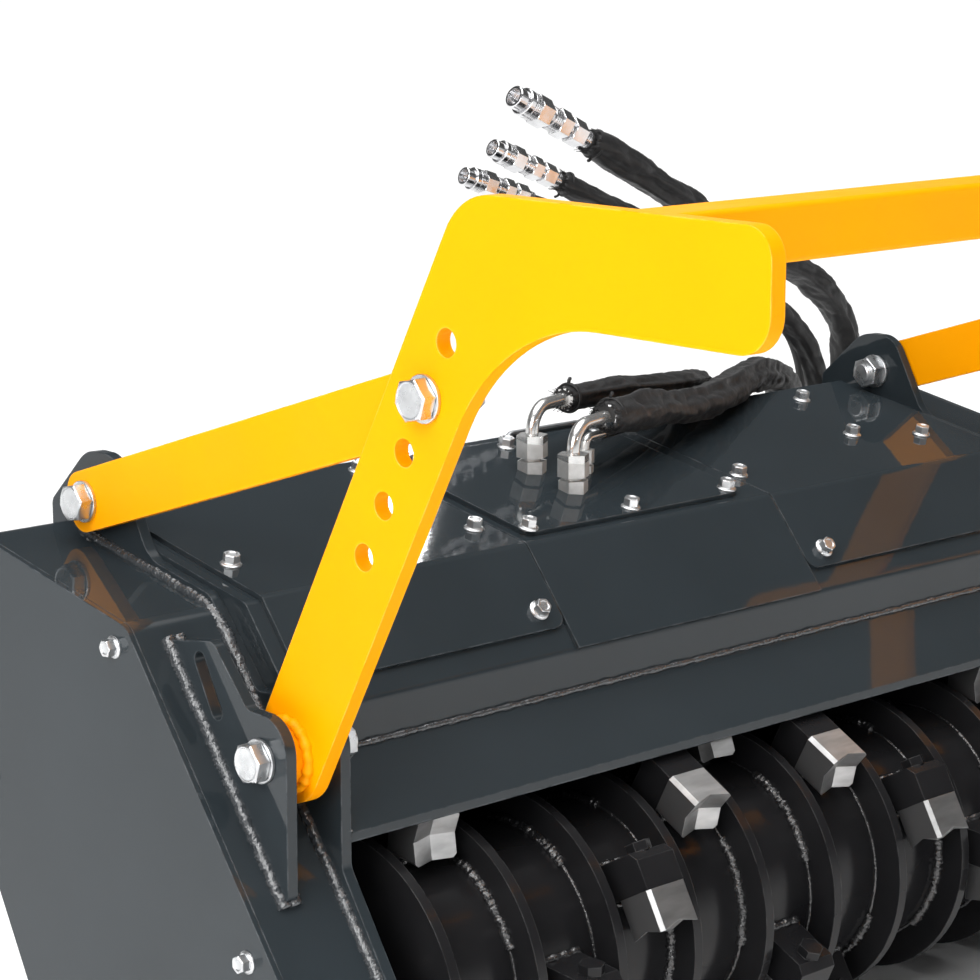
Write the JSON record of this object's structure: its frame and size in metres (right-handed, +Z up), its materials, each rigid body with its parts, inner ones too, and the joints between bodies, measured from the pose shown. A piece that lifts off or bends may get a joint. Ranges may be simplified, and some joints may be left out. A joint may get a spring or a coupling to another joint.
{
  "type": "forestry mulcher head",
  "caption": "Forestry mulcher head for a compact loader: a toothed drum in a sloped housing, with side drive boxes and a braced push bar over the front.",
  "frame": {"origin": "on the floor under the middle of the machine's box, without its hoses", "axes": "+X to the machine's right across its width, +Y to the rear towards the loader, +Z up"},
  "size_m": [1.6412, 1.325, 1.0664],
  "materials": {
    "grey_paint": "gloss dark grey paint",
    "yellow_paint": "satin yellow paint",
    "black_paint": "gloss black paint",
    "zinc": "bright zinc plating",
    "black_fabric": "black woven hose sleeve",
    "tool_steel": "ground tool steel"
  },
  "bodies": {
    "housing": {"side_plate_left": "grey_paint", "side_plate_right": "grey_paint", "drive_box_left": "grey_paint", "drive_box_right": "grey_paint", "drive_cover_left": "grey_paint", "drive_cover_right": "grey_paint", "lug_left": "grey_paint", "lug_right": "grey_paint", "skid_shoe_left": "grey_paint", "skid_shoe_right": "grey_paint", "bearing_housing_left": "grey_paint", "bearing_housing_right": "grey_paint", "hood_panel_left": "grey_paint", "hood_panel_centre": "grey_paint", "hood_panel_right": "grey_paint", "hatch": "grey_paint", "hood_frame": "grey_paint", "deflector": "grey_paint", "rotor_hood": "grey_paint", "rear_wall": "grey_paint", "loader_plate": "grey_paint", "loader_gusset_left": "grey_paint", "loader_gusset_right": "grey_paint", "motor": "grey_paint", "push_arm_left": "yellow_paint", "push_arm_right": "yellow_paint", "brace_left": "yellow_paint", "brace_right": "yellow_paint", "push_bar": "yellow_paint", "pivot_bolt_left": "zinc", "pivot_bolt_right": "zinc", "brace_bolt_left": "zinc", "brace_bolt_right": "zinc", "ear_bolt_left": "zinc", "ear_bolt_right": "zinc", "hose_front": "black_fabric", "hose_rear": "black_fabric", "hose_drain": "black_fabric", "coupler_front": "zinc", "coupler_rear": "zinc", "coupler_drain": "zinc", "ports": "zinc"},
    "rotor": {"drum": "black_paint", "teeth": "tool_steel"}
  },
  "joints": [
    {"name": "drum_spin", "type": "hinge", "parent": "housing", "child": "rotor", "pos_m": [0, 0.09, 0.22], "axis": [1, 0, 0], "continuous": true}
  ]
}
